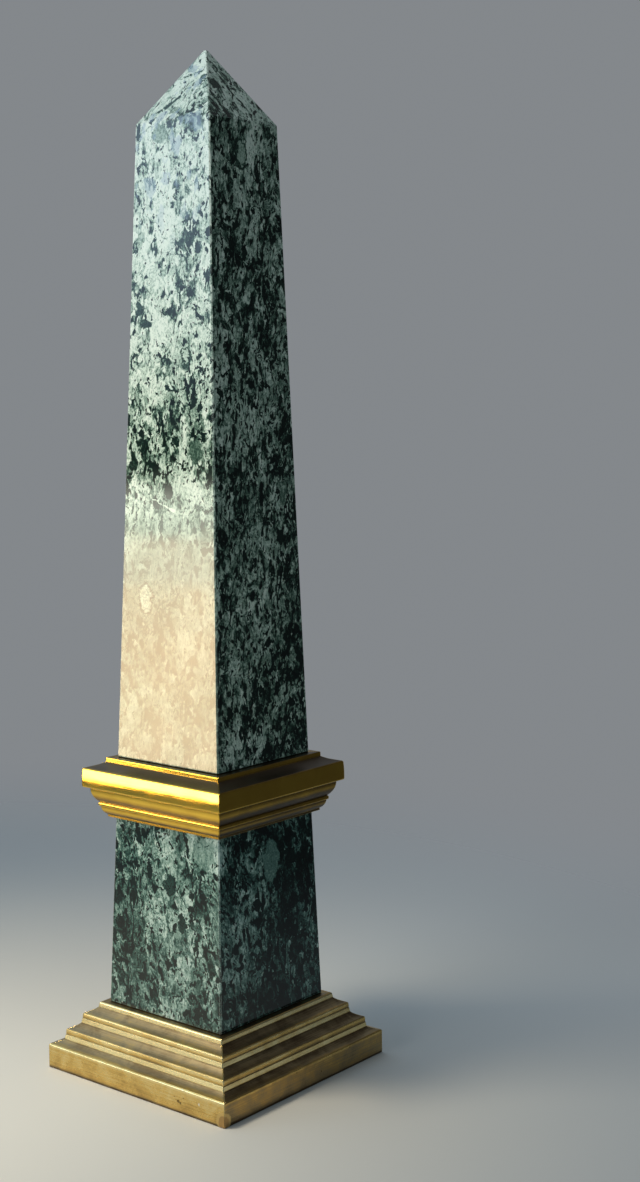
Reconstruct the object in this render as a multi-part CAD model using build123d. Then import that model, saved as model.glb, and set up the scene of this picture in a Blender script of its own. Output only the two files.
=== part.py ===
from build123d import *
import os

# A desk obelisk: a tapered stone shaft and its pedestal block, with a square moulded brass base
# and a square moulded brass collar, each mitred from four lengths.
# Millimetres. The origin is on the axis at the underside, +Z is up, the front faces -Y.
# Widths are across the whole square, and heights run along the axis.

# Base moulding, from the plinth up to the lip round the block
plinth_width = 88.0
plinth_height = 8.9
lower_cove_height = 1.5
lower_fillet_width = 79.8
lower_fillet_height = 3.8
middle_cove_height = 2.1
upper_fillet_width = 71.0
upper_fillet_height = 3.6
upper_cove_height = 2.2
base_lip_width = 61.8
base_lip_height = 1.9
base_lip_lean = 0.3
base_cove_hollow = 0.3
base_opening = 50.0

# Each fillet of the base has a narrow band at its foot, a small step in, and a swelling face that leans back
foot_band_height = 1.65
foot_band_lean = 0.3
foot_band_step = 0.15
fillet_lean = 0.15
fillet_swell = 0.12

# Pedestal block
block_foot_width = 55.9
block_top_width = 51.3
block_height = 69.7

# Collar moulding, from its lowest fillet up to the lip round the shaft
neck_fillet_width = 55.4
neck_fillet_height = 0.8
small_ovolo_top_width = 59.0
small_ovolo_height = 3.1
bead_width = 60.2
bead_height = 1.5
ovolo_foot_width = 59.2
ovolo_top_width = 64.2
ovolo_height = 5.7
fascia_width = 68.5
fascia_height = 7.2
fascia_lean = 0.25
collar_cove_height = 2.0
collar_lip_width = 56.0
collar_lip_height = 1.7
small_ovolo_swell = 0.45
ovolo_swell = 0.8
fascia_swell = 0.12
collar_cove_hollow = 0.3
collar_opening = 38.0

# Rounding of the moulded arrises, and the joint left between two mitred lengths
fascia_rounding = 0.7
bead_rounding = 0.5
collar_lip_rounding = 0.35
base_lip_rounding = 0.7
fillet_rounding = 0.4
plinth_foot_rounding = 0.3
plinth_top_rounding = 0.7
mitre_joint = 0.1

# Shaft, with its pyramid top in the same stone
shaft_foot_width = 49.9
shoulder_width = 36.0
shaft_height = 228.5
pyramid_height = 26.3
tip_width = 1.2

# Flats ground on the upright arrises of the stone, and round its bedding faces
arris_flat = 0.4
tip_flat = 0.3
bed_chamfer = 0.3

# Wooden core inside the base, set back from the underside
core_clearance = 0.1
core_setback = 1.0
core_bore = 9.0
nut_pocket_diameter = 26.0
nut_pocket_depth = 12.0

# Tie rod that holds the pile together, with its washer and nut under the core
rod_diameter = 8.0
rod_chamfer = 0.8
rod_grip = 40.0
rod_end_gap = 0.5
rod_tail = 1.8
block_bore = 10.0
grout_gap = 0.2
washer_diameter = 20.0
washer_thickness = 1.6
nut_across_flats = 13.0
nut_height = 6.5
nut_chamfer = 0.7
thread_gap = 0.1

# Heights worked out from the members
plinth_top = plinth_height
lower_fillet_foot = plinth_top + lower_cove_height
lower_fillet_top = lower_fillet_foot + lower_fillet_height
upper_fillet_foot = lower_fillet_top + middle_cove_height
upper_fillet_top = upper_fillet_foot + upper_fillet_height
base_lip_foot = upper_fillet_top + upper_cove_height
base_top = base_lip_foot + base_lip_height

collar_foot = base_top + block_height
neck_fillet_top = collar_foot + neck_fillet_height
bead_foot = neck_fillet_top + small_ovolo_height
bead_top = bead_foot + bead_height
fascia_foot = bead_top + ovolo_height
fascia_top = fascia_foot + fascia_height
collar_lip_foot = fascia_top + collar_cove_height
collar_top = collar_lip_foot + collar_lip_height

shoulder = collar_top + shaft_height
tip = shoulder + pyramid_height

pocket_ceiling = core_setback + nut_pocket_depth
washer_foot = pocket_ceiling - washer_thickness
nut_foot = washer_foot - nut_height
rod_foot = nut_foot - rod_tail
rod_top = collar_top + rod_grip - rod_end_gap


def outline(start, *steps):
    """Closed face from start through the steps, each a point and how far its arc bows from the chord."""
    edges = []
    here = start
    for point, rise in (*steps, (start, 0)):
        edges.append(SagittaArc(here, point, rise) if rise else Line(here, point))
        here = point
    return make_face(edges)


def rounded(section, corners, radius):
    """The section with its corners at these points rounded."""
    def nearest(corner):
        return min(section.vertices(), key=lambda vertex: (Vector(vertex) - Vector(*corner)).length)

    return fillet([nearest(corner) for corner in corners], radius)


def stepped_fillet(width, foot, height):
    """Steps of one base fillet, upwards: its foot band, the small step in, and its leaning face."""
    band_top = foot + foot_band_height
    ledge = width / 2 - foot_band_lean
    face = ledge - foot_band_step
    return (
        ((ledge, band_top), 0),
        ((face, band_top), 0),
        ((face - fillet_lean, foot + height), -fillet_swell),
    )


def base_section():
    """Section of the base moulding: x is the distance from the axis, y the height."""
    inner = base_opening / 2
    plinth = plinth_width / 2
    lip = base_lip_width / 2
    lower_steps = stepped_fillet(lower_fillet_width, lower_fillet_foot, lower_fillet_height)
    upper_steps = stepped_fillet(upper_fillet_width, upper_fillet_foot, upper_fillet_height)
    section = outline(
        (inner, 0),
        ((plinth, 0), 0),
        ((plinth, plinth_top), 0),
        ((lower_fillet_width / 2, lower_fillet_foot), base_cove_hollow),
        *lower_steps,
        ((upper_fillet_width / 2, upper_fillet_foot), base_cove_hollow),
        *upper_steps,
        ((lip, base_lip_foot), base_cove_hollow),
        ((lip - base_lip_lean, base_top), 0),
        ((inner, base_top), 0),
    )
    section = rounded(section, [(plinth, 0)], plinth_foot_rounding)
    section = rounded(section, [(plinth, plinth_top)], plinth_top_rounding)
    section = rounded(section, [lower_steps[-1][0], upper_steps[-1][0]], fillet_rounding)
    return rounded(section, [(lip - base_lip_lean, base_top)], base_lip_rounding)


def collar_section():
    """Section of the collar moulding: x is the distance from the axis, y the height."""
    inner = collar_opening / 2
    neck = neck_fillet_width / 2
    bead = bead_width / 2
    fascia = fascia_width / 2
    lip = collar_lip_width / 2
    section = outline(
        (inner, collar_foot),
        ((neck, collar_foot), 0),
        ((neck, neck_fillet_top), 0),
        ((small_ovolo_top_width / 2, bead_foot), -small_ovolo_swell),
        ((bead, bead_foot), 0),
        ((bead, bead_top), 0),
        ((ovolo_foot_width / 2, bead_top), 0),
        ((ovolo_top_width / 2, fascia_foot), -ovolo_swell),
        ((fascia, fascia_foot), 0),
        ((fascia - fascia_lean, fascia_top), -fascia_swell),
        ((lip, collar_lip_foot), collar_cove_hollow),
        ((lip, collar_top), 0),
        ((inner, collar_top), 0),
    )
    fascia_arrises = [(fascia, fascia_foot), (fascia - fascia_lean, fascia_top)]
    section = rounded(section, fascia_arrises, fascia_rounding)
    section = rounded(section, [(bead, bead_foot), (bead, bead_top)], bead_rounding)
    return rounded(section, [(lip, collar_top)], collar_lip_rounding)


def mitred_lengths(section):
    """The four lengths of a square moulding, by side, each cut at 45 degrees where it meets the next."""
    reach = section.bounding_box().max.X
    height = section.bounding_box().max.Y
    back_off = mitre_joint / 2 ** 0.5
    run = extrude(Plane.XZ * section, reach, both=True)
    corners = [(back_off, 0), (reach, reach - back_off), (reach, back_off - reach)]
    wedge = extrude(make_face(Polyline(*corners, close=True)), height)
    length = run & wedge
    turns = {"front": -90, "right": 0, "back": 90, "left": 180}
    return {side: Rot(0, 0, turn) * length for side, turn in turns.items()}


def stone_square(width, flat, height):
    """A level square at this height, its corners cut by the flats of the upright arrises."""
    square = Rectangle(width, width)
    return Pos(0, 0, height) * chamfer(square.vertices(), flat)


def bedded(stone, level):
    """The stone with a fine chamfer round its bedding face at this height."""
    bed = min(stone.faces(), key=lambda face: abs(face.center().Z - level))
    return chamfer(bed.outer_wire().edges(), bed_chamfer)


def upright(diameter, foot, top):
    """A plain upright cylinder on the axis, between two heights."""
    return extrude(Pos(0, 0, foot) * Circle(diameter / 2), top - foot)


def pedestal_block():
    """The tapered block under the collar, bored for the rod."""
    foot = stone_square(block_foot_width, arris_flat, base_top)
    top = stone_square(block_top_width, arris_flat, collar_foot)
    block = loft([foot, top], ruled=True)
    block = bedded(bedded(block, base_top), collar_foot)
    return block - upright(block_bore, base_top, collar_foot)


def shaft():
    """The tapered shaft and its pyramid top, bored from below to take the rod."""
    foot = stone_square(shaft_foot_width, arris_flat, collar_top)
    neck = stone_square(shoulder_width, arris_flat, shoulder)
    point = stone_square(tip_width, tip_flat, tip)
    stone = loft([foot, neck], ruled=True) + loft([neck, point], ruled=True)
    stone = bedded(stone, collar_top)
    return stone - upright(rod_diameter + 2 * grout_gap, collar_top, collar_top + rod_grip)


def base_core():
    """The wooden core inside the base, with a pocket below for the nut and washer."""
    side = base_opening - 2 * core_clearance
    core = extrude(Pos(0, 0, core_setback) * Rectangle(side, side), base_top - core_setback)
    core -= upright(nut_pocket_diameter, core_setback, pocket_ceiling)
    return core - upright(core_bore, pocket_ceiling, base_top)


def tie_rod():
    """The rod, with its ends chamfered."""
    rod = upright(rod_diameter, rod_foot, rod_top)
    return chamfer(rod.edges().filter_by(GeomType.CIRCLE), rod_chamfer)


def washer():
    """The washer between the nut and the core."""
    disc = upright(washer_diameter, washer_foot, pocket_ceiling)
    return disc - upright(rod_diameter + 2 * thread_gap, washer_foot, pocket_ceiling)


def nut():
    """The hexagon nut, its lower corners turned down."""
    hexagon = RegularPolygon(nut_across_flats / 2, 6, major_radius=False)
    blank = extrude(Pos(0, 0, nut_foot) * hexagon, nut_height)
    cone_foot = nut_across_flats / 2 - nut_chamfer / 2
    on_foot = (Align.CENTER, Align.CENTER, Align.MIN)
    cone = Cone(cone_foot, cone_foot + nut_height, nut_height, align=on_foot)
    turned = blank & (Pos(0, 0, nut_foot) * cone)
    return turned - upright(rod_diameter + 2 * thread_gap, nut_foot, washer_foot)


def write(nodes):
    """Writes each node's solid to parts/."""
    os.makedirs("parts", exist_ok=True)
    for name, solid in nodes.items():
        export_step(solid, f"parts/{name}.step")
        print(f"{name}: {solid.volume / 1000:.1f} cm3")


nodes = {f"base_moulding_{side}": length for side, length in mitred_lengths(base_section()).items()}
nodes |= {f"collar_moulding_{side}": length for side, length in mitred_lengths(collar_section()).items()}
nodes["base_core"] = base_core()
nodes["pedestal_block"] = pedestal_block()
nodes["shaft"] = shaft()
nodes["tie_rod"] = tie_rod()
nodes["washer"] = washer()
nodes["nut"] = nut()
write(nodes)
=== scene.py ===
import math

import bpy
from mathutils import Matrix, Vector


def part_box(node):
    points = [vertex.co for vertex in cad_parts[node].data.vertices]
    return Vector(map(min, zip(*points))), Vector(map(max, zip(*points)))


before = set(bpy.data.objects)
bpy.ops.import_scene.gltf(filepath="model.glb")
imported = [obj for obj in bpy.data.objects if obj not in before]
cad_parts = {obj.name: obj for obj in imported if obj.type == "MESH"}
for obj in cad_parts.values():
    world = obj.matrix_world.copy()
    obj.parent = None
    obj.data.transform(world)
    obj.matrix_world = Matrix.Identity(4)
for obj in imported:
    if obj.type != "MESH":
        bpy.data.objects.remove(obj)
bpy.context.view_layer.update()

# The scene is in metres, and the sizes on the pieces are given in millimetres
MM_PER_METRE = 1000.0

# The picture's height, the lens in its pixels and the row of the picture that the lens looks straight at
PICTURE_HEIGHT = 1182
LENS_PIXELS = 1733.0
LEVEL_ROW = 530.0

# Where the camera stands and how it is turned
CAMERA_PLACE = (0.4310, -0.4625, 0.2482)
CAMERA_YAW = math.radians(39.38)
CAMERA_PITCH = math.radians(4.51)
CAMERA_ROLL = math.radians(-0.37)
SENSOR = 36.0

# Screen colours of the stone from its darkest to its palest tone
SHAFT_COLOURS = (
    (0.0, (6, 20, 15)), (0.15, (20, 42, 33)), (0.32, (58, 84, 70)), (0.46, (108, 132, 114)),
    (0.62, (164, 184, 165)), (0.80, (202, 217, 198)), (1.0, (226, 235, 218)),
)
BLOCK_COLOURS = (
    (0.0, (3, 14, 11)), (0.15, (12, 35, 30)), (0.35, (42, 72, 64)),
    (0.55, (84, 115, 105)), (0.78, (142, 170, 158)), (1.0, (192, 212, 202)),
)

# Screen colours over the stone's own: cold patches that are a painted reflection of the sky, worn arrises and
# the dark joint at its foot
SKY_REFLECTION = (140, 162, 180)
WORN_ARRIS = (214, 226, 214)
DARK_JOINT = (22, 24, 16)

# The painted sky reflection is on the shaft's front, from the first height in millimetres, and full at the
# second
SKY_REFLECTION_FROM = 290.0
SKY_REFLECTION_FULL = 330.0

# The dark joint is full up to the first height above the stone's foot, in millimetres, and ends at the second
JOINT_FULL = 0.25
JOINT_END = 0.55

# How pale the stone is at each height in millimetres, 0.5 for no change: on its front, painted paler as the
# lit side, and on the rest, painted darker as the sides in shade
SHAFT_LIT_FRONT = (
    (100, 0.60), (214, 0.62), (227, 0.52), (240, 0.60),
    (262, 0.66), (285, 0.72), (320, 0.76), (372, 0.72),
)
SHAFT_SHADED_REST = ((100, 0.48), (200, 0.50), (300, 0.55), (345, 0.56), (350, 0.62), (372, 0.62))
BLOCK_LIT_FRONT = ((20, 0.48), (60, 0.56), (96, 0.57))
BLOCK_SHADED_REST = ((20, 0.47), (96, 0.43))

# Between these heights, downwards, the pattern on the shaft's front is evened out as a painted washout of the
# warm reflection; how much it is evened out, and the tone it goes to
WASHOUT_FROM = 223.0
WASHOUT_FULL = 188.0
WASHOUT_SHARE = 0.72
WASHOUT_TONE = 0.38

# Marks in the shaft's stone: the centre and half sizes in millimetres, and the tone that shows there
SHAFT_BLOTCHES = (
    ((-10.9, -23.1, 175.2), (5.2, 3.0, 8.5), 0.44),
    ((-10.9, -23.1, 175.2), (3.7, 3.0, 6.0), 0.14),
    ((-10.9, -23.1, 175.2), (3.0, 3.0, 5.1), 0.60),
    ((7.2, -22.2, 205.1), (0.6, 1.0, 0.5), 1.00),
    ((-17.4, -21.7, 222.5), (2.0, 2.5, 2.4), 0.03),
    ((-13.5, -21.5, 230.8), (2.6, 2.5, 1.8), 0.05),
    ((13.2, -21.5, 228.0), (3.8, 2.5, 4.4), 0.34),
    ((-15.5, -20.0, 279.4), (2.0, 2.5, 2.8), 0.10),
    ((-11.9, -20.2, 273.3), (2.8, 2.5, 1.4), 0.10),
    ((0.8, -20.8, 250.2), (3.0, 2.5, 1.5), 0.06),
    ((0.8, -20.8, 251.2), (0.7, 2.5, 1.1), 1.00),
    ((8.0, -20.5, 260.8), (2.6, 2.5, 4.2), 0.16),
    ((7.8, -20.5, 261.2), (1.4, 2.5, 2.8), 0.80),
    ((-5.6, -18.0, 340.0), (3.6, 3.0, 4.0), 0.50),
    ((18.3, -2.7, 332.4), (3.0, 3.8, 5.8), 0.14),
    ((18.4, -2.2, 332.6), (3.0, 2.2, 4.2), 0.66),
    ((9.4, -5.5, 357.2), (2.4, 2.2, 2.6), 0.05),
    ((6.1, -8.1, 359.1), (1.6, 1.6, 2.4), 0.20),
)
# The same on the block
BLOCK_BLOTCHES = (
    ((18.5, -25.9, 86.5), (5.5, 3.0, 5.5), 0.66),
    ((2.4, -26.3, 72.5), (3.0, 3.0, 3.8), 0.14),
    ((8.5, -26.8, 59.6), (2.0, 3.0, 3.6), 0.16),
    ((26.0, 1.5, 80.0), (3.0, 4.5, 8.0), 0.60),
)
# Strokes: where each starts and ends, its half width, and its tone. On the shaft the first two are a pale
# scratch, the next three are hairlines, and the last five are dark veins in the pyramid top.
SHAFT_STROKES = (
    ((-7.7, -22.05, 210.9), (-1.5, -22.1, 208.6), 0.38, 0.95),
    ((-1.5, -22.1, 208.6), (3.3, -22.2, 207.0), 0.80, 1.00),
    ((-17.7, -19.35, 299.8), (16.7, -19.5, 295.8), 0.20, 0.28),
    ((18.9, -17.0, 314.4), (18.9, 17.0, 313.8), 0.24, 0.05),
    ((18.9, -2.0, 315.9), (18.9, 12.5, 315.3), 0.20, 0.88),
    ((3.8, -6.0, 362.3), (-3.8, -7.2, 360.5), 0.80, 0.12),
    ((-1.4, -12.3, 352.8), (-10.2, -16.4, 346.5), 1.10, 0.10),
    ((3.4, -2.3, 366.2), (10.0, 0.5, 356.3), 0.90, 0.06),
    ((10.0, 0.5, 356.3), (15.2, 4.8, 348.4), 0.80, 0.06),
    ((11.5, -10.4, 354.1), (16.3, -8.2, 346.8), 0.90, 0.05),
)
BLOCK_STROKES = (
    ((9.0, -25.9, 86.5), (21.0, -25.9, 90.5), 0.22, 0.12),
    ((27.0, 17.0, 40.0), (26.5, 12.0, 56.0), 0.25, 0.05),
)

# What green_marble takes for each stone, beside its name and its foot
SHAFT_STONE = {
    "colours": SHAFT_COLOURS, "front": SHAFT_LIT_FRONT, "rest": SHAFT_SHADED_REST,
    "blotches": SHAFT_BLOTCHES, "strokes": SHAFT_STROKES,
    "lean": math.radians(5), "offset": (0.0, 0.0, 0.0), "scale": (0.95, 0.95, 0.56),
    "broken": 0.49, "plain": WASHOUT_SHARE,
}
BLOCK_STONE = {
    "colours": BLOCK_COLOURS, "front": BLOCK_LIT_FRONT, "rest": BLOCK_SHADED_REST,
    "blotches": BLOCK_BLOTCHES, "strokes": BLOCK_STROKES,
    "lean": math.radians(-7), "offset": (60.0, 20.0, 0.0), "scale": (0.80, 0.80, 0.50),
    "broken": 0.45, "plain": 0.0,
}

# Millimetres in the marble: its large and small clasts, and how far apart its lenses and hairlines lie
LARGE_CLAST = 5.6
SMALL_CLAST = 1.9
LENS_SPACING = 4.2
HAIRLINE_SPACING = 24.0

# How tarnished and how shaded each moulding is at each height in millimetres, from 0 for clean to 1 for dark
# Besides tarnish and grime in the hollows, the tables hold painted shade: dark lines at the steps and inner
# corners, darker lower edges on the leaning bands and on the ovolo, the cove under the collar's lip and the
# plinth's foot
BASE_TARNISH_AND_SHADE = (
    (0.0, 1.0), (0.5, 0.9), (1.1, 0.40), (7.6, 0.28), (8.5, 0.05), (8.9, 0.40), (9.3, 0.70),
    (10.2, 0.78), (10.42, 1.0), (10.62, 0.0), (11.9, 0.0), (12.1, 0.92), (12.5, 0.40),
    (13.9, 0.15), (14.3, 0.66), (16.1, 0.78), (16.32, 1.0), (16.52, 0.0), (17.8, 0.0),
    (18.0, 0.90), (18.4, 0.36), (19.6, 0.08), (20.2, 0.66), (21.9, 0.78), (22.12, 1.0),
    (22.35, 0.0), (23.7, 0.02), (24.0, 0.6),
)
COLLAR_TARNISH_AND_SHADE = (
    (93.7, 0.60), (94.4, 0.30), (94.6, 0.90), (95.4, 0.55), (96.4, 0.10), (97.4, 0.35),
    (97.6, 0.90), (97.8, 0.02), (98.9, 0.05), (99.15, 0.95), (99.8, 0.75), (101.2, 0.45),
    (102.4, 0.05), (104.3, 0.20), (104.75, 0.85), (105.1, 0.10), (106.4, 0.02), (111.4, 0.02),
    (111.9, 0.40), (112.2, 0.92), (113.8, 0.96), (114.0, 1.0), (114.3, 0.12), (115.4, 0.08),
    (115.7, 0.55),
)

# How much painted shade darkens the right length of each, at each height in millimetres
BASE_RIGHT_SHADE = ((0.0, 0.30), (8.4, 0.30), (9.4, 0.10), (24.0, 0.10))
COLLAR_RIGHT_SHADE = ((93.7, 0.42), (104.4, 0.40), (105.2, 0.20), (112.0, 0.20), (115.7, 0.30))

# Screen colours of the brass from clean to dirty, the dirty end also giving the painted shade, and of the
# dirt in its pits
BASE_BRASS = (
    (0.0, (255, 238, 180)), (0.35, (222, 188, 112)), (0.52, (180, 148, 90)),
    (0.68, (150, 132, 98)), (1.0, (82, 64, 42)),
)
COLLAR_BRASS = (
    (0.0, (242, 202, 84)), (0.35, (208, 166, 66)), (0.62, (146, 116, 60)),
    (0.82, (104, 88, 64)), (1.0, (92, 80, 66)),
)
PIT_DIRT = (60, 46, 26)

# Spots on the base: its plinth's front corner worn brown in a paler rim, two white flecks, a dark pair, two
# small dark spots, and a painted glint on the lip as a white fleck. Each has its centre, half sizes and
# screen colour.
BASE_SPOTS_AND_GLINT = (
    ((43.0, -43.5, 2.2), (2.9, 2.9, 3.2), (218, 190, 126)),
    ((43.4, -43.9, 1.8), (2.2, 2.2, 2.6), (168, 132, 88)),
    ((24.2, -44.0, 8.7), (0.35, 0.5, 0.35), (250, 246, 230)),
    ((32.2, -44.0, 5.4), (0.40, 0.5, 0.40), (250, 246, 230)),
    ((22.3, -44.0, 4.1), (0.75, 0.5, 0.60), (92, 70, 42)),
    ((23.4, -44.0, 3.6), (0.55, 0.5, 0.45), (92, 70, 42)),
    ((20.6, -44.0, 5.3), (0.28, 0.5, 0.28), (110, 86, 52)),
    ((24.8, -44.0, 5.8), (0.25, 0.5, 0.25), (110, 86, 52)),
    # Painted highlight: the glint on the lip
    ((22.1, -30.9, 23.0), (0.60, 0.6, 0.50), (252, 246, 226)),
)

# What brass takes for each moulding, beside its name
COLLAR_FINISH = {
    "colours": COLLAR_BRASS, "polish": (0.08, 0.40),
    "tarnish": COLLAR_TARNISH_AND_SHADE, "right_shade": COLLAR_RIGHT_SHADE,
    "cloudy": 0.07, "streaky": 0.08, "spots": (),
}
BASE_FINISH = {
    "colours": BASE_BRASS, "polish": (0.20, 0.42),
    "tarnish": BASE_TARNISH_AND_SHADE, "right_shade": BASE_RIGHT_SHADE,
    "cloudy": 0.11, "streaky": 0.24, "spots": BASE_SPOTS_AND_GLINT,
}

# Radius in metres to which the brass arrises look rounded
SOFT_ARRIS = 0.00028

# How fine the streaks in the brass are: hardly at all along a moulding, and much more across it and up
STREAK_SCALE = (0.035, 3.4, 3.4)

# Screen colours of the wooden core: its dark and its pale grain, and its pores
WOOD_DARK = (142, 104, 68)
WOOD_PALE = (182, 142, 98)
WOOD_PORES = (96, 66, 42)

# Screen colours of the rod's steel: clean, gone dull, and worn bright on its edges
STEEL_CLEAN = (176, 176, 170)
STEEL_DULL = (140, 138, 128)
STEEL_WORN = (205, 205, 202)

# The studio: a pale floor that fades into a plain grey room, its half width and fade in metres
FLOOR_HALF = 3.0
FLOOR_FADE_CENTRE = (-0.12, -0.12, 0.0)
FLOOR_FADE_FROM = 0.20
FLOOR_FADE_TO = 0.58
FLOOR_COLOURS = ((208, 207, 203), (203, 202, 198))

# The room's grey, and its lighter sides: behind, overhead, at the right, and a patch of sky at the front
# left. Each has its direction from the object, the angles in degrees at which it is still full and at which
# it has ended, and its colour.
ROOM_GREY = (0.045, 0.05, 0.056, 1.0)
ROOM_SIDES = (
    ((-0.63, 0.77, 0.05), 20, 80, (0.23, 0.245, 0.26, 1.0)),
    ((-0.62, -0.06, 0.78), 10, 48, (0.60, 0.79, 0.98, 1.0)),
    ((0.85, -0.35, 0.45), 8, 50, (0.36, 0.46, 0.52, 1.0)),
    ((-0.67, -0.70, 0.27), 3, 15, (1.85, 2.5, 3.2, 1.0)),
)

# The main soft lamp in front of the left side
KEY_PLACE = (-0.12, -0.72, 0.50)
KEY_AIM = (0.0, 0.0, 0.34)
KEY_SIZE = (0.50, 0.45)
KEY_BRIGHTNESS = 0.65
KEY_COLOUR = (0.97, 1.0, 1.0)
KEY_BEAM = 44

# A lamp above the floor in front of the left side, that lights the floor which the base mirrors
FLOOR_LAMP_PLACE = (-0.18, -0.27, 0.57)
FLOOR_LAMP_AIM = (-0.055, -0.115, 0.0)
FLOOR_LAMP_SIZE = (0.15, 0.15)
FLOOR_LAMP_BRIGHTNESS = 4.6
FLOOR_LAMP_COLOUR = (1.0, 0.88, 0.66)
FLOOR_LAMP_BEAM = 56

# The low warm screen that the polished faces mirror: level strips, each aimed at the part of the shaft that
# shows it. The strips run upwards, each with its share of the brightness and its colour.
WARM_PLACE = (-0.345, -0.365)
WARM_WIDTH = 0.18
WARM_FOOT = 0.024
WARM_STRIP_HEIGHT = 0.031
WARM_BRIGHTNESS = 0.47
WARM_STRIPS = (
    (1.0, (1.0, 0.72, 0.43)), (1.0, (1.0, 0.72, 0.43)), (1.0, (1.0, 0.70, 0.42)),
    (0.95, (1.0, 0.73, 0.46)), (0.82, (1.0, 0.83, 0.60)), (0.41, (0.96, 0.95, 0.80)),
)
WARM_BEAM = 34
WARM_AIM_FOOT = 0.10
WARM_AIM_RISE = 0.55


class Tree:
    """Short ways to place and join nodes in one material or node group."""

    def __init__(self, tree):
        self.tree = tree

    def node(self, kind, inputs=None, **settings):
        """A node with these settings, its inputs fed by name or number."""
        made = self.tree.nodes.new(kind)
        for key, value in settings.items():
            setattr(made, key, value)
        for key, value in (inputs or {}).items():
            self.feed(made.inputs[key], value)
        return made

    def feed(self, socket, value):
        """Joins an output to the socket, or sets a plain value on it."""
        if isinstance(value, bpy.types.NodeSocket):
            self.tree.links.new(value, socket)
        else:
            socket.default_value = value

    def math(self, operation, a, b=0.0, clamp=False):
        """What the operation makes of one or two values."""
        made = self.node("ShaderNodeMath", {0: a, 1: b}, operation=operation, use_clamp=clamp)
        return made.outputs[0]

    def vector(self, operation, a, b=(0, 0, 0)):
        """What the operation makes of one or two places, a value for a length or a dot product."""
        made = self.node("ShaderNodeVectorMath", {0: a, 1: b}, operation=operation)
        return made.outputs["Value"] if operation in ("LENGTH", "DOT_PRODUCT") else made.outputs[0]

    def apart(self, place):
        """The X, Y and Z of a place."""
        return self.node("ShaderNodeSeparateXYZ", {0: place}).outputs

    def step(self, value, low, high, soft="SMOOTHSTEP"):
        """0 at low, 1 at high, smooth between; low may be above high."""
        inputs = {0: value, 1: low, 2: high, 3: 0.0, 4: 1.0}
        return self.node("ShaderNodeMapRange", inputs, interpolation_type=soft).outputs[0]

    def below(self, value, limit, soft):
        """1 where the value is below the limit and 0 above, smooth over this much to either side."""
        return self.step(value, self.math("ADD", limit, soft), self.math("SUBTRACT", limit, soft))

    def spread(self, value, low, high):
        """Takes 0 to 1 to the range low to high."""
        return self.node("ShaderNodeMapRange", {0: value, 3: low, 4: high}).outputs[0]

    def swing(self, value, reach):
        """Takes 0 to 1 to the range minus reach to plus reach."""
        return self.spread(value, -reach, reach)

    def dim(self, value, mask, share):
        """The value, lowered by this share of itself where the mask is 1."""
        kept = self.math("SUBTRACT", 1.0, self.math("MULTIPLY", mask, share))
        return self.math("MULTIPLY", value, kept)

    def blend(self, share, a, b):
        """Value a, or b where share is 1."""
        return self.node("ShaderNodeMix", {0: share, 2: a, 3: b}).outputs[0]

    def mix(self, share, a, b):
        """Colour a, or b where share is 1."""
        return self.node("ShaderNodeMix", {0: share, 6: a, 7: b}, data_type="RGBA").outputs[2]

    def cover(self, colour, mask, share, shade):
        """The colour, covered to this share by a screen colour where the mask is 1."""
        return self.mix(self.math("MULTIPLY", mask, share), colour, rgb(*shade))

    def ramp(self, value, stops):
        """Looks the value up in stops of (place, grey) or (place, screen colour)."""
        made = self.node("ShaderNodeValToRGB", {0: value})
        marks = made.color_ramp.elements
        while len(marks) < len(stops):
            marks.new(0.5)
        for mark, (place, shade) in zip(marks, stops):
            mark.position = place
            mark.color = rgb(*shade) if isinstance(shade, tuple) else (shade, shade, shade, 1.0)
        return made.outputs[0]

    def by_height(self, height, stops):
        """A value that changes with height, from stops of (millimetres, value)."""
        foot, top = stops[0][0], stops[-1][0]
        place = self.step(height, foot, top, soft="LINEAR")
        return self.ramp(place, [((level - foot) / (top - foot), value) for level, value in stops])

    def noise(self, place, scale, detail=2.0, rough=0.5, warp=0.0):
        """Noise that is coarse at a low scale and finer with detail, with its value first."""
        inputs = {"Vector": place, "Scale": scale, "Detail": detail, "Roughness": rough, "Distortion": warp}
        return self.node("ShaderNodeTexNoise", inputs).outputs

    def cells(self, place, scale, feature="F1"):
        """Cells, smaller at a higher scale, each with its own colour."""
        inputs = {"Vector": place, "Scale": scale}
        return self.node("ShaderNodeTexVoronoi", inputs, feature=feature).outputs

    def shake(self, place, scale, reach, detail=2.0, rough=0.5):
        """A move that wanders over the place by noise, up to half the reach each way."""
        wander = self.noise(place, scale, detail, rough)["Color"]
        wander = self.vector("SUBTRACT", wander, (0.5, 0.5, 0.5))
        return self.vector("MULTIPLY", wander, (reach, reach, reach))


def rgb(red, green, blue):
    """A colour given as it shows on screen, 0 to 255, turned to the linear values that nodes take."""
    def linear(c):
        c /= 255
        return c / 12.92 if c <= 0.04045 else ((c + 0.055) / 1.055) ** 2.4
    return (linear(red), linear(green), linear(blue), 1.0)


def new_group(name, inputs, outputs):
    """An empty node group with named inputs and outputs, its builder and its sockets by name."""
    group = bpy.data.node_groups.new(name, "ShaderNodeTree")
    for label, kind, value in inputs:
        kind = "NodeSocket" + kind
        socket = group.interface.new_socket(label, in_out="INPUT", socket_type=kind)
        if value is not None:
            socket.default_value = value
    for label, kind in outputs:
        group.interface.new_socket(label, in_out="OUTPUT", socket_type="NodeSocket" + kind)
    t = Tree(group)
    given = t.node("NodeGroupInput").outputs
    result = t.node("NodeGroupOutput").inputs
    return group, t, given, result


def use(t, group, **inputs):
    """Places a group in a tree with these inputs, and gives its outputs."""
    made = t.node("ShaderNodeGroup", node_tree=group)
    for label, value in inputs.items():
        t.feed(made.inputs[label.replace("_", " ")], value)
    return made.outputs


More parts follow.
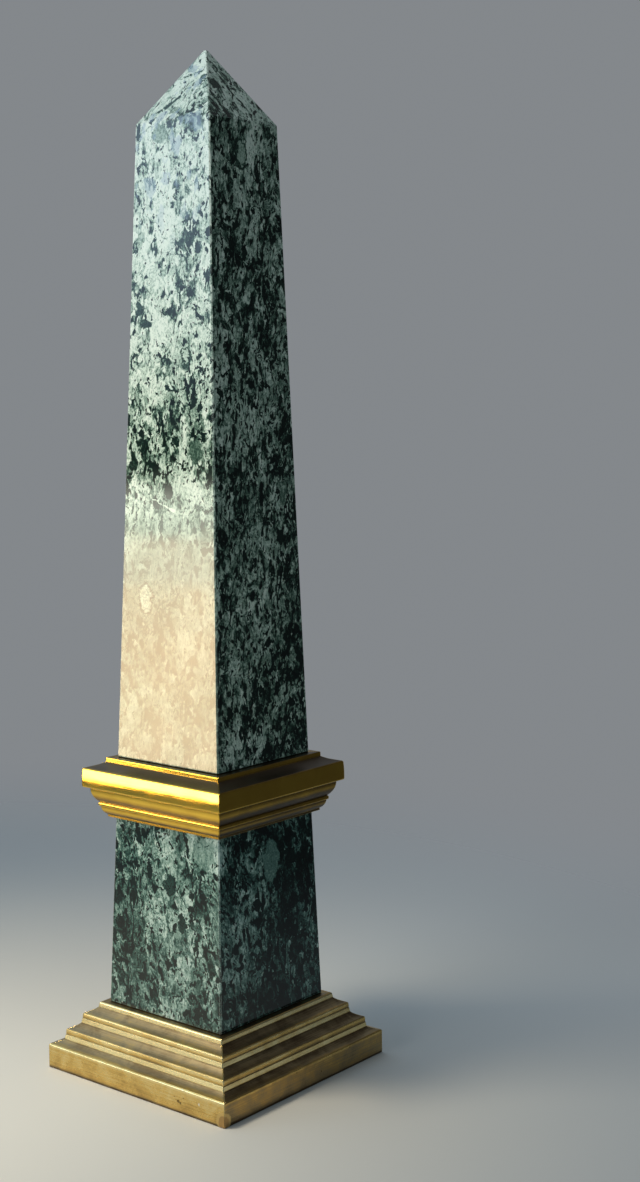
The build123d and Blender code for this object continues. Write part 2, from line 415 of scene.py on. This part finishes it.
def millimetres(t, stretch=(1.0, 1.0, 1.0)):
    """The place on the piece in millimetres, stretched."""
    place = t.node("ShaderNodeTexCoord").outputs["Object"]
    scale = tuple(MM_PER_METRE * s for s in stretch)
    return t.node("ShaderNodeMapping", {"Vector": place, "Scale": scale}).outputs[0]


def make_speck_group():
    """Small scattered pits: share is how many cells have one, and radius is a share of the spacing."""
    group, t, given, result = new_group(
        "specks",
        [
            ("Place", "Vector", None), ("Spacing", "Float", 4.0),
            ("Share", "Float", 0.3), ("Radius", "Float", 0.1),
        ],
        [("Mask", "Float")],
    )
    cells = t.cells(given["Place"], t.math("DIVIDE", 1.0, given["Spacing"]))
    pick = t.node("ShaderNodeSeparateColor", {0: cells["Color"]}).outputs
    chosen = t.math("LESS_THAN", pick[0], given["Share"])
    reach = t.math("MULTIPLY", given["Radius"], t.spread(pick[2], 0.4, 1.3))
    inner = t.math("MULTIPLY", reach, 0.6)
    spot = t.step(cells["Distance"], reach, inner)
    t.feed(result["Mask"], t.math("MULTIPLY", chosen, spot))
    return group


def make_wear_group():
    """Wear along convex edges, broken up by noise; the width is in metres."""
    group, t, given, result = new_group(
        "edge_wear",
        [("Place", "Vector", None), ("Width", "Float", 0.0005), ("Patchiness", "Float", 0.5)],
        [("Mask", "Float")],
    )
    rounded = t.node("ShaderNodeBevel", {"Radius": given["Width"]}, samples=4).outputs[0]
    flat = t.node("ShaderNodeNewGeometry").outputs["Normal"]
    edge = t.step(t.vector("DOT_PRODUCT", rounded, flat), 0.995, 0.85)
    patches = t.noise(given["Place"], 0.6, detail=3.0)[0]
    broken = t.step(patches, given["Patchiness"], t.math("SUBTRACT", given["Patchiness"], 0.2))
    t.feed(result["Mask"], t.math("MULTIPLY", edge, broken))
    return group


def make_marble_group():
    """Green breccia: large clasts, small broken ones in a dark paste, lenses, mottling and hairlines."""
    group, t, given, result = new_group(
        "marble_pattern",
        [("Place", "Vector", None), ("Paleness", "Float", 0.0), ("Broken", "Float", 0.5)],
        [("Tone", "Float")],
    )
    raw = given["Place"]
    place = t.vector("ADD", raw, t.shake(raw, 0.11, 6.0))
    place = t.vector("ADD", place, t.shake(raw, 0.55, 2.2))
    place = t.vector("ADD", place, t.shake(raw, 2.2, 0.7))

    def clasts(size, darkest, palest, narrow, wide):
        """Clasts of one size, each with its own tone; a joint between two is dark only where it is wide."""
        cells = t.cells(place, 1 / size)
        share = t.node("ShaderNodeSeparateColor", {0: cells["Color"]}).outputs[0]
        border = t.cells(place, 1 / size, feature="DISTANCE_TO_EDGE")["Distance"]
        width = t.spread(t.noise(raw, 0.55 / size, detail=1.0)[0], narrow, wide)
        width = t.math("SUBTRACT", width, t.math("MULTIPLY", given["Paleness"], 0.25))
        joint = t.step(border, t.math("ADD", width, 0.09), width)
        joint = t.math("MULTIPLY", joint, t.step(width, 0.0, 0.12))
        tone = t.math("ADD", t.spread(share, darkest, palest), given["Paleness"])
        return t.math("MULTIPLY", tone, t.math("SUBTRACT", 1.0, joint))

    large = clasts(LARGE_CLAST, darkest=0.38, palest=0.70, narrow=-0.34, wide=0.30)
    small = clasts(SMALL_CLAST, darkest=0.05, palest=0.80, narrow=-0.32, wide=0.44)
    patches = t.noise(raw, 0.13, detail=3.0, rough=0.6)[0]
    tone = t.blend(t.below(patches, given["Broken"], 0.035), large, small)

    def islands(scale, level, pull, origin, detail):
        """Patches of one size, more of them at a higher level, fewer in pale stone by the pull."""
        shifted = t.vector("ADD", place, (origin, origin, origin))
        limit = t.math("SUBTRACT", level, t.math("MULTIPLY", given["Paleness"], pull))
        edge = t.math("SUBTRACT", t.noise(shifted, scale, detail, rough=0.55)[0], limit)
        return t.step(edge, 0.008, -0.010)

    clouds = t.noise(raw, 0.30, detail=3.0, rough=0.55)[0]
    mottle = t.noise(place, 1.1, detail=4.0, rough=0.68)[0]
    grit = t.noise(raw, 3.2, detail=2.0, rough=0.6)[0]
    tone = t.math("ADD", tone, t.swing(clouds, 0.22))
    tone = t.math("ADD", tone, t.swing(mottle, 0.38))
    tone = t.math("ADD", tone, t.swing(grit, 0.24))
    unchanged = islands(0.90, level=0.54, pull=0.35, origin=40.0, detail=3.0)
    paler = t.math("SUBTRACT", 1.0, unchanged)
    tone = t.math("ADD", tone, t.math("MULTIPLY", paler, 0.20))
    dull = islands(1.3, level=0.450, pull=0.10, origin=160.0, detail=3.0)
    tone = t.dim(tone, dull, 0.32)
    wide_dark = islands(0.40, level=0.405, pull=0.28, origin=80.0, detail=1.5)
    small_dark = islands(0.80, level=0.415, pull=0.24, origin=120.0, detail=1.5)
    tone = t.dim(tone, t.math("MAXIMUM", wide_dark, small_dark), 0.86)

    cells = t.cells(place, 1 / LENS_SPACING)
    pick = t.node("ShaderNodeSeparateColor", {0: cells["Color"]}).outputs
    share = t.math("SUBTRACT", 0.22, t.math("MULTIPLY", given["Paleness"], 0.3))
    chosen = t.math("LESS_THAN", pick[0], share)
    lens = t.below(cells["Distance"], t.spread(pick[1], 0.16, 0.34), 0.03)
    tone = t.dim(tone, t.math("MULTIPLY", lens, chosen), 0.9)

    border = t.cells(place, 1 / HAIRLINE_SPACING, feature="DISTANCE_TO_EDGE")["Distance"]
    open_here = t.step(t.noise(raw, 0.12)[0], 0.46, 0.56)
    hairline = t.math("MULTIPLY", t.step(border, 0.010, 0.004), open_here)
    tone = t.math("SUBTRACT", tone, t.math("MULTIPLY", hairline, 0.45), clamp=True)
    t.feed(result["Tone"], tone)
    return group


def make_blotch_group():
    """One rounded mark at a place, its half sizes given along X, Y and Z."""
    group, t, given, result = new_group(
        "blotch",
        [("Place", "Vector", None), ("Centre", "Vector", None), ("Size", "Vector", (1.0, 1.0, 1.0))],
        [("Mask", "Float")],
    )
    away = t.vector("SUBTRACT", given["Place"], given["Centre"])
    away = t.vector("LENGTH", t.vector("DIVIDE", away, given["Size"]))
    t.feed(result["Mask"], t.step(away, 1.08, 0.88))
    return group


def make_stroke_group():
    """A straight mark between two places."""
    group, t, given, result = new_group(
        "stroke",
        [
            ("Place", "Vector", None), ("Start", "Vector", None),
            ("End", "Vector", None), ("Half Width", "Float", 0.2),
        ],
        [("Mask", "Float")],
    )
    along = t.vector("SUBTRACT", given["End"], given["Start"])
    away = t.vector("SUBTRACT", given["Place"], given["Start"])
    reached, whole = t.vector("DOT_PRODUCT", away, along), t.vector("DOT_PRODUCT", along, along)
    share = t.math("DIVIDE", reached, whole, clamp=True)
    nearest = t.node("ShaderNodeVectorMath", {0: along, "Scale": share}, operation="SCALE").outputs[0]
    distance = t.vector("LENGTH", t.vector("SUBTRACT", away, nearest))
    core = t.math("MULTIPLY", given["Half Width"], 0.4)
    t.feed(result["Mask"], t.step(distance, given["Half Width"], core))
    return group


def make_smudge_group():
    """Handling marks: a slow, blotchy variation for roughness and tone, from 0 to 1."""
    group, t, given, result = new_group(
        "smudges",
        [("Place", "Vector", None), ("Size", "Float", 20.0)],
        [("Mask", "Float")],
    )
    scale = t.math("DIVIDE", 1.0, given["Size"])
    slow = t.noise(given["Place"], scale, detail=4.0, rough=0.6, warp=0.6)[0]
    t.feed(result["Mask"], t.step(slow, 0.3, 0.7))
    return group


SPECKS = make_speck_group()
MARBLE = make_marble_group()
WEAR = make_wear_group()
SMUDGES = make_smudge_group()
BLOTCH = make_blotch_group()
STROKE = make_stroke_group()


def new_material(name):
    """A material with its tree cleared but for the surface shader."""
    material = bpy.data.materials.new(name)
    material.use_nodes = True
    material.node_tree.nodes.clear()
    t = Tree(material.node_tree)
    surface = t.node("ShaderNodeBsdfPrincipled")
    output = t.node("ShaderNodeOutputMaterial")
    t.feed(output.inputs["Surface"], surface.outputs[0])
    return material, t, surface.inputs


def bump(t, surface, height, strength, depth, over=None):
    """Feeds a height to the surface's normal, over another normal if there is one; depth is in metres."""
    inputs = {"Height": height, "Strength": strength, "Distance": depth}
    if over is not None:
        inputs["Normal"] = over
    t.feed(surface["Normal"], t.node("ShaderNodeBump", inputs).outputs[0])


def along_moulding(t, even):
    """The place on a square moulding: along its length, out from the axis, and up."""
    x, depth, height = t.apart(even)
    wide, deep = t.math("ABSOLUTE", x), t.math("ABSOLUTE", depth)
    along = t.blend(t.math("GREATER_THAN", deep, wide), depth, x)
    out = t.math("MAXIMUM", wide, deep)
    return t.node("ShaderNodeCombineXYZ", {0: along, 1: out, 2: height}).outputs[0]


def stone_marks(t, tone, even, blotches, strokes):
    """Lays the stone's own blotches and strokes over its tone."""
    ragged = t.vector("ADD", even, t.shake(even, 0.34, 7.0, detail=4.0, rough=0.62))
    mottle = t.swing(t.noise(even, 1.4, detail=4.0, rough=0.66)[0], 0.45)
    for centre, size, shade in blotches:
        mask = use(t, BLOTCH, Place=ragged, Centre=centre, Size=size)["Mask"]
        share = t.math("MULTIPLY", mask, 0.85)
        tone = t.blend(share, tone, t.math("ADD", mottle, shade, clamp=True))
    wavy = t.vector("ADD", even, t.shake(even, 0.22, 3.0, detail=3.0, rough=0.6))
    whole = t.step(t.noise(even, 0.33)[0], 0.40, 0.52)
    for start, end, half_width, shade in strokes:
        mask = use(t, STROKE, Place=wavy, Start=start, End=end, Half_Width=half_width)["Mask"]
        tone = t.blend(t.math("MULTIPLY", mask, t.spread(whole, 0.25, 0.85)), tone, shade)
    return tone


def green_marble(
    name, foot, colours, front, rest, blotches, strokes, lean, offset, scale, broken, plain,
):
    """Polished green marble, its clasts drawn out along a bed.

    foot is the height of its foot in millimetres, and lean how far its bed leans from the upright.
    offset and scale say where its pattern begins and how fine it is, and it is coarsest along the bed.
    front and rest are how pale it is at each height, the front painted paler as the lit side and the
    rest darker as the sides in shade; broken is how much of it is small clasts, and plain how much a
    painted washout of the warm reflection hides of the front's low part.
    """
    material, t, surface = new_material(name)
    even = millimetres(t)
    leant = t.node("ShaderNodeMapping", {"Vector": even, "Rotation": (lean, -lean, 0.0)}).outputs[0]
    drawn = t.node("ShaderNodeMapping", {"Vector": leant, "Scale": scale, "Location": offset}).outputs[0]
    height = t.apart(even)[2]
    normal = t.node("ShaderNodeNewGeometry").outputs["True Normal"]
    facing = t.vector("DOT_PRODUCT", normal, (0.0, -1.0, 0.0))
    wander = t.swing(t.noise(drawn, 0.07)[0], 20.0)
    level = t.math("ADD", height, wander)
    lit_front = t.step(facing, 0.45, 0.80)
    # Painted light: the front is paler as the lit side, and the rest darker as the sides in shade
    paleness = t.blend(lit_front, t.by_height(level, rest), t.by_height(level, front))
    zone = t.swing(t.noise(drawn, 0.05)[0], 0.35)
    paleness = t.math("ADD", t.math("SUBTRACT", paleness, 0.5), zone)
    tone = use(t, MARBLE, Place=drawn, Paleness=paleness, Broken=broken)["Tone"]
    # Painted washout: the warm reflection on the low front, drawn by evening the pattern into one tone
    low = t.step(level, WASHOUT_FROM, WASHOUT_FULL)
    washed_front = t.math("MULTIPLY", low, lit_front)
    tone = t.blend(t.math("MULTIPLY", washed_front, plain), tone, WASHOUT_TONE)
    tone = stone_marks(t, tone, even, blotches, strokes)
    colour = t.ramp(tone, colours)
    # Painted reflection: cool patches of mirrored sky over the high front
    sky_patches = t.step(t.noise(drawn, 0.16, detail=3.0, rough=0.6)[0], 0.55, 0.60)
    high_front = t.math("MULTIPLY", lit_front, t.step(height, SKY_REFLECTION_FROM, SKY_REFLECTION_FULL))
    colour = t.cover(colour, t.math("MULTIPLY", sky_patches, high_front), 0.45, SKY_REFLECTION)
    worn = use(t, WEAR, Place=even, Width=0.0005, Patchiness=0.70)["Mask"]
    colour = t.cover(colour, worn, 0.6, WORN_ARRIS)
    joint = t.step(height, foot + JOINT_END, foot + JOINT_FULL)
    t.feed(surface["Base Color"], t.mix(joint, colour, rgb(*DARK_JOINT)))
    marks = use(t, SMUDGES, Place=even, Size=26.0)["Mask"]
    rough = t.math("ADD", t.spread(marks, 0.06, 0.13), t.math("MULTIPLY", worn, 0.25))
    t.feed(surface["Roughness"], rough)
    surface["IOR"].default_value = 1.5
    relief = t.math("ADD", t.math("MULTIPLY", tone, 0.5), t.noise(even, 0.12)[0])
    bump(t, surface, relief, 0.25, 0.00003)
    return material


def brass(name, colours, polish, tarnish, right_shade, cloudy, streaky, spots):
    """Brass under a film of tarnish, with painted shade laid into the same film.

    colours and polish, which is its roughness, run from clean to dirty. tarnish is how dirty it is
    at each height, with painted shade at the steps, corners and down-facing parts, and right_shade is
    the painted shade over the right length. cloudy and streaky are how far the film varies in clouds
    and in streaks along the length, and spots lie over all.
    """
    material, t, surface = new_material(name)
    even = millimetres(t)
    place = along_moulding(t, even)
    height = t.apart(place)[2]
    x, depth, _ = t.apart(even)
    on_right = t.step(t.math("SUBTRACT", x, t.math("ABSOLUTE", depth)), -0.1, 0.1)
    drawn = t.node("ShaderNodeMapping", {"Vector": place, "Scale": STREAK_SCALE}).outputs[0]
    streaks = t.noise(drawn, 1.0, detail=3.0, rough=0.6)[0]
    marks = use(t, SMUDGES, Place=even, Size=11.0)["Mask"]
    fine = t.noise(even, 1.1, detail=3.0, rough=0.6)[0]
    # The height table gives tarnish and painted shade together
    film = t.by_height(height, tarnish)
    # Painted shade: the right length is darkened as the shaded side
    film = t.math("ADD", film, t.math("MULTIPLY", on_right, t.by_height(height, right_shade)))
    film = t.math("ADD", film, t.swing(marks, cloudy))
    film = t.math("ADD", film, t.swing(streaks, streaky))
    film = t.math("ADD", film, t.swing(fine, cloudy * 0.8), clamp=True)
    worn = use(t, WEAR, Place=even, Width=0.0004, Patchiness=0.8)["Mask"]
    film = t.dim(film, worn, 0.7)
    colour = t.ramp(film, colours)
    pits = use(t, SPECKS, Place=even, Spacing=4.0, Share=0.12, Radius=0.07)["Mask"]
    colour = t.cover(colour, pits, 0.75, PIT_DIRT)
    ragged = t.vector("ADD", even, t.shake(even, 1.2, 1.2, detail=3.0, rough=0.6))
    for centre, size, shade in spots:
        mask = use(t, BLOTCH, Place=ragged, Centre=centre, Size=size)["Mask"]
        colour = t.cover(colour, mask, 0.75, shade)
    t.feed(surface["Base Color"], colour)
    surface["Metallic"].default_value = 1.0
    t.feed(surface["Roughness"], t.spread(film, *polish))
    soft_arris = t.node("ShaderNodeBevel", {"Radius": SOFT_ARRIS}, samples=4).outputs[0]
    relief = t.math("ADD", t.math("MULTIPLY", streaks, 0.08), t.noise(even, 0.10, detail=1.0)[0])
    bump(t, surface, relief, 0.3, 0.0003, over=soft_arris)
    return material


def core_wood():
    """Bare planed wood with its grain running along X."""
    material, t, surface = new_material("core_wood")
    drawn = millimetres(t, stretch=(0.05, 1.0, 1.0))
    rings = t.noise(drawn, 0.8, detail=4.0, rough=0.6, warp=0.4)[0]
    pores = t.noise(millimetres(t, stretch=(0.12, 3.0, 3.0)), 1.0)[0]
    colour = t.mix(t.step(rings, 0.3, 0.7), rgb(*WOOD_DARK), rgb(*WOOD_PALE))
    colour = t.cover(colour, t.step(pores, 0.58, 0.7), 0.5, WOOD_PORES)
    t.feed(surface["Base Color"], colour)
    t.feed(surface["Roughness"], t.spread(rings, 0.6, 0.8))
    bump(t, surface, rings, 0.4, 0.0002)
    return material


def rod_steel():
    """Zinc-plated steel gone dull, with turning marks."""
    material, t, surface = new_material("rod_steel")
    even = millimetres(t)
    marks = use(t, SMUDGES, Place=even, Size=6.0)["Mask"]
    rings = t.noise(millimetres(t, stretch=(0.2, 0.2, 6.0)), 1.0)[0]
    wear = use(t, WEAR, Place=even, Width=0.0003, Patchiness=0.8)["Mask"]
    colour = t.mix(marks, rgb(*STEEL_CLEAN), rgb(*STEEL_DULL))
    colour = t.mix(wear, colour, rgb(*STEEL_WORN))
    t.feed(surface["Base Color"], colour)
    surface["Metallic"].default_value = 1.0
    t.feed(surface["Roughness"], t.spread(marks, 0.32, 0.5))
    bump(t, surface, rings, 0.3, 0.0001)
    return material


def dress(node, material):
    """Gives a CAD piece its finish."""
    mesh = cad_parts[node].data
    mesh.materials.clear()
    mesh.materials.append(material)


def dress_all():
    """Gives every piece its finish."""
    polished = brass("polished_brass", **COLLAR_FINISH)
    aged = brass("aged_brass", **BASE_FINISH)
    for side in ("front", "right", "back", "left"):
        dress(f"base_moulding_{side}", aged)
        dress(f"collar_moulding_{side}", polished)
    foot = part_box("shaft")[0][2] * MM_PER_METRE
    dress("shaft", green_marble("shaft_marble", foot, **SHAFT_STONE))
    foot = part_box("pedestal_block")[0][2] * MM_PER_METRE
    dress("pedestal_block", green_marble("block_marble", foot, **BLOCK_STONE))
    dress("base_core", core_wood())
    steel = rod_steel()
    for name in ("tie_rod", "washer", "nut"):
        dress(name, steel)


def glow(t, direction, side, full, end):
    """1 within an angle of this side of the room and 0 past another, in degrees, smooth between."""
    towards = Vector(side).normalized()
    aligned = t.vector("DOT_PRODUCT", direction, tuple(towards))
    return t.step(aligned, math.cos(math.radians(end)), math.cos(math.radians(full)))


def room():
    """The grey room round the studio, with its lighter sides."""
    world = bpy.data.worlds.new("room")
    world.use_nodes = True
    world.node_tree.nodes.clear()
    t = Tree(world.node_tree)
    direction = t.node("ShaderNodeTexCoord").outputs["Generated"]
    colour = ROOM_GREY
    for side, full, end, lighter in ROOM_SIDES:
        colour = t.mix(glow(t, direction, side, full, end), colour, lighter)
    shade = t.node("ShaderNodeBackground", {"Color": colour, "Strength": 1.0})
    t.feed(t.node("ShaderNodeOutputWorld").inputs["Surface"], shade.outputs[0])
    bpy.context.scene.world = world


def floor_paint():
    """Pale matt floor that turns see-through far from the object, so that no edge of it shows."""
    material, t, surface = new_material("floor_paint")
    place = t.node("ShaderNodeTexCoord").outputs["Object"]
    cloud = t.noise(place, 6.0, detail=3.0)[0]
    plain, clouded = FLOOR_COLOURS
    t.feed(surface["Base Color"], t.mix(cloud, rgb(*plain), rgb(*clouded)))
    surface["Roughness"].default_value = 0.75
    surface["Specular IOR Level"].default_value = 0.2
    away = t.vector("LENGTH", t.vector("SUBTRACT", place, FLOOR_FADE_CENTRE))
    t.feed(surface["Alpha"], t.step(away, FLOOR_FADE_TO, FLOOR_FADE_FROM))
    return material


def lay_floor():
    """The floor that the object stands on."""
    h = FLOOR_HALF
    mesh = bpy.data.meshes.new("studio_floor")
    mesh.from_pydata([(-h, -h, 0), (h, -h, 0), (h, h, 0), (-h, h, 0)], [], [(0, 1, 2, 3)])
    mesh.materials.append(floor_paint())
    floor = bpy.data.objects.new("studio_floor", mesh)
    bpy.context.scene.collection.objects.link(floor)


def soft_panel(name, place, aim, width, height, brightness, colour, beam):
    """A soft lamp of this width and height; brightness is before the beam, in degrees, gathers it."""
    lamp = bpy.data.lights.new(name, "AREA")
    lamp.shape = "RECTANGLE"
    lamp.size = width
    lamp.size_y = height
    lamp.color = colour
    lamp.energy = brightness * width * height * math.pi
    lamp.spread = math.radians(beam)
    panel = bpy.data.objects.new(name, lamp)
    panel.location = place
    panel.rotation_euler = (Vector(aim) - Vector(place)).to_track_quat("-Z", "Y").to_euler()
    bpy.context.scene.collection.objects.link(panel)


def warm_screen():
    """The low warm screen at the front left, its upper strips dimmer and cooler."""
    for i, (share, colour) in enumerate(WARM_STRIPS):
        middle = WARM_FOOT + WARM_STRIP_HEIGHT * (i + 0.5)
        aim = (0.0, 0.0, WARM_AIM_FOOT + WARM_AIM_RISE * middle)
        soft_panel(f"warm_panel_{i}", (*WARM_PLACE, middle), aim, WARM_WIDTH, WARM_STRIP_HEIGHT,
                   WARM_BRIGHTNESS * share, colour, WARM_BEAM)


def light_studio():
    """The room's own light, the two lamps and the warm screen."""
    room()
    soft_panel("key_panel", KEY_PLACE, KEY_AIM, *KEY_SIZE, KEY_BRIGHTNESS, KEY_COLOUR, KEY_BEAM)
    soft_panel("floor_panel", FLOOR_LAMP_PLACE, FLOOR_LAMP_AIM, *FLOOR_LAMP_SIZE,
               FLOOR_LAMP_BRIGHTNESS, FLOOR_LAMP_COLOUR, FLOOR_LAMP_BEAM)
    warm_screen()


def place_camera():
    """The camera at the photograph's place, turned by yaw, pitch and roll."""
    lens = bpy.data.cameras.new("camera")
    lens.sensor_width = SENSOR
    lens.lens = LENS_PIXELS / PICTURE_HEIGHT * SENSOR
    lens.shift_y = (LEVEL_ROW - PICTURE_HEIGHT / 2) / PICTURE_HEIGHT
    lens.clip_start = 0.01
    camera = bpy.data.objects.new("camera", lens)
    turn = Matrix.Rotation(CAMERA_YAW, 4, "Z") @ Matrix.Rotation(math.pi / 2 - CAMERA_PITCH, 4, "X")
    camera.matrix_world = Matrix.Translation(CAMERA_PLACE) @ turn @ Matrix.Rotation(CAMERA_ROLL, 4, "Z")
    bpy.context.scene.collection.objects.link(camera)
    bpy.context.scene.camera = camera


dress_all()
lay_floor()
light_studio()
place_camera()
bpy.context.scene.view_settings.view_transform = "Standard"
